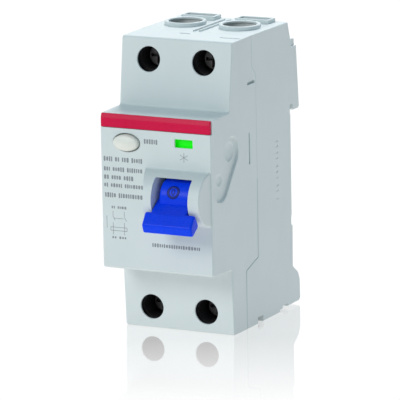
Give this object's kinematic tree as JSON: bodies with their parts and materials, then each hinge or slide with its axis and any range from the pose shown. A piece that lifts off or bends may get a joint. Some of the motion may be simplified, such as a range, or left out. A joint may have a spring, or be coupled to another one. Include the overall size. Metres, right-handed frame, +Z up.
{
  "type": "residual current device",
  "caption": "Rail-mounted two-pole residual current device with a swinging toggle, oval test button, indicator window and cage terminals at both ends.",
  "frame": {"origin": "centre of the rail seat, on the plane where the rail's front face bears", "axes": "+X to the device's right seen from the front, +Y out of the back towards the rail, +Z up"},
  "size_m": [0.035, 0.069, 0.0862],
  "materials": {
    "housing_plastic": "satin light grey moulding",
    "strip_red": "smooth",
    "toggle_blue": "semi-gloss",
    "button_white": "satin",
    "flag_green": "satin",
    "black_plastic": "matt",
    "steel": "plated",
    "dark_steel": "passivated",
    "copper": "bare copper",
    "silver": "silver alloy",
    "board_green": "solder mask",
    "component_blue": "lacquer",
    "core_metal": "wound strip",
    "lead_blue": "insulation"
  },
  "bodies": {
    "housing": {"front_cover": "housing_plastic", "rear_base": "housing_plastic", "identification_strip": "strip_red", "toggle_axle": "steel", "test_resistor": "component_blue", "line_plate_left": "copper", "line_plate_right": "copper", "load_plate_left": "copper", "load_plate_right": "copper", "fixed_tip_left": "silver", "fixed_tip_right": "silver", "arc_chute_left": "dark_steel", "arc_chute_right": "dark_steel", "mechanism_frame": "steel", "trip_pin": "steel", "relay_yoke": "dark_steel", "relay_coil": "copper", "transformer_case": "black_plastic", "transformer_core": "core_metal", "sensing_winding": "copper", "circuit_board": "board_green", "filter_capacitor": "component_blue", "varistor": "component_blue", "primary_lead_left": "lead_blue", "primary_lead_right": "lead_blue", "test_lead": "component_blue", "sensor_lead": "component_blue", "terminal_block_top": "black_plastic", "terminal_block_bottom": "black_plastic"},
    "toggle_lever": {"toggle": "toggle_blue", "toggle_spring": "steel"},
    "link": {"link_rod": "steel"},
    "carrier": {"contact_carrier": "black_plastic", "moving_contact_left": "copper", "moving_contact_right": "copper", "moving_tip_left": "silver", "moving_tip_right": "silver", "contact_spring_left": "steel", "contact_spring_right": "steel"},
    "indicator": {"indicator_flag": "flag_green"},
    "button": {"test_button": "button_white"},
    "test_blade": {"test_contact": "copper"},
    "rail_clip": {"din_clip": "housing_plastic"},
    "trip_arm": {"trip_lever": "black_plastic"},
    "plunger": {"relay_plunger": "steel"},
    "screw_top_left": {"terminal_screw_top_left": "dark_steel"},
    "cage_top_left": {"terminal_cage_top_left": "steel"},
    "screw_top_right": {"terminal_screw_top_right": "dark_steel"},
    "cage_top_right": {"terminal_cage_top_right": "steel"},
    "screw_bottom_left": {"terminal_screw_bottom_left": "dark_steel"},
    "cage_bottom_left": {"terminal_cage_bottom_left": "steel"},
    "screw_bottom_right": {"terminal_screw_bottom_right": "dark_steel"},
    "cage_bottom_right": {"terminal_cage_bottom_right": "steel"}
  },
  "joints": [
    {"name": "toggle_swing", "type": "hinge", "parent": "housing", "child": "toggle_lever", "pos_m": [0.0079, -0.0521, 0], "axis": [-1, 0, 0], "range_deg": [0, 66]},
    {"name": "link_rod_turn", "type": "hinge", "parent": "toggle_lever", "child": "link", "pos_m": [0.0079, -0.05384, 0.00268], "axis": [1, 0, 0], "range_deg": [0, 66]},
    {"name": "contact_swing", "type": "hinge", "parent": "housing", "child": "carrier", "pos_m": [0, -0.012, 0.004], "axis": [1, 0, 0], "range_deg": [0, 14]},
    {"name": "indicator_slide", "type": "slide", "parent": "housing", "child": "indicator", "axis": [0, 0, -1], "range_m": [0, 0.0033]},
    {"name": "test_button_press", "type": "slide", "parent": "housing", "child": "button", "axis": [0, 1, 0], "range_m": [0, 0.0016], "stiffness_N_per_m": 200, "springref_m": -0.0015},
    {"name": "test_contact_bend", "type": "hinge", "parent": "housing", "child": "test_blade", "pos_m": [-0.0092, -0.0468, 0.0052], "axis": [-1, 0, 0], "range_deg": [0, 10.5]},
    {"name": "rail_clip_slide", "type": "slide", "parent": "housing", "child": "rail_clip", "axis": [0, 0, -1], "range_m": [0, 0.004], "stiffness_N_per_m": 300, "springref_m": -0.002},
    {"name": "relay_plunger_slide", "type": "slide", "parent": "housing", "child": "plunger", "axis": [0, 0, 1], "range_m": [0, 0.0015], "stiffness_N_per_m": 100, "springref_m": -0.0008},
    {"name": "trip_lever_turn", "type": "hinge", "parent": "housing", "child": "trip_arm", "pos_m": [-0.009, -0.03, 0.0018], "axis": [-1, 0, 0], "range_deg": [0, 7]},
    {"name": "cage_slide_top_left", "type": "slide", "parent": "housing", "child": "cage_top_left", "axis": [0, -1, 0], "range_m": [0, 0.0064]},
    {"name": "screw_turn_top_left", "type": "hinge", "parent": "housing", "child": "screw_top_left", "pos_m": [-0.00875, -0.03, 0.0362], "axis": [0, 1, 0], "range_deg": [0, 2880]},
    {"name": "cage_slide_top_right", "type": "slide", "parent": "housing", "child": "cage_top_right", "axis": [0, -1, 0], "range_m": [0, 0.0064]},
    {"name": "screw_turn_top_right", "type": "hinge", "parent": "housing", "child": "screw_top_right", "pos_m": [0.00875, -0.03, 0.0362], "axis": [0, 1, 0], "range_deg": [0, 2880]},
    {"name": "cage_slide_bottom_left", "type": "slide", "parent": "housing", "child": "cage_bottom_left", "axis": [0, -1, 0], "range_m": [0, 0.0064]},
    {"name": "screw_turn_bottom_left", "type": "hinge", "parent": "housing", "child": "screw_bottom_left", "pos_m": [-0.00875, -0.03, -0.0362], "axis": [0, 1, 0], "range_deg": [0, 2880]},
    {"name": "cage_slide_bottom_right", "type": "slide", "parent": "housing", "child": "cage_bottom_right", "axis": [0, -1, 0], "range_m": [0, 0.0064]},
    {"name": "screw_turn_bottom_right", "type": "hinge", "parent": "housing", "child": "screw_bottom_right", "pos_m": [0.00875, -0.03, -0.0362], "axis": [0, 1, 0], "range_deg": [0, 2880]}
  ],
  "couplings": [
    {"joint": "link_rod_turn", "follows": "toggle_swing", "ratio": 1},
    {"joint": "contact_swing", "follows": "toggle_swing", "ratio": 0.21212},
    {"joint": "indicator_slide", "follows": "toggle_swing", "m_per_rad": 0.0028561},
    {"joint": "test_contact_bend", "follows": "test_button_press", "rad_per_m": 114.43},
    {"joint": "trip_lever_turn", "follows": "relay_plunger_slide", "rad_per_m": 81.332},
    {"joint": "screw_turn_top_left", "follows": "cage_slide_top_left", "rad_per_m": 7853.9},
    {"joint": "screw_turn_top_right", "follows": "cage_slide_top_right", "rad_per_m": 7853.9},
    {"joint": "screw_turn_bottom_left", "follows": "cage_slide_bottom_left", "rad_per_m": 7853.9},
    {"joint": "screw_turn_bottom_right", "follows": "cage_slide_bottom_right", "rad_per_m": 7853.9}
  ]
}
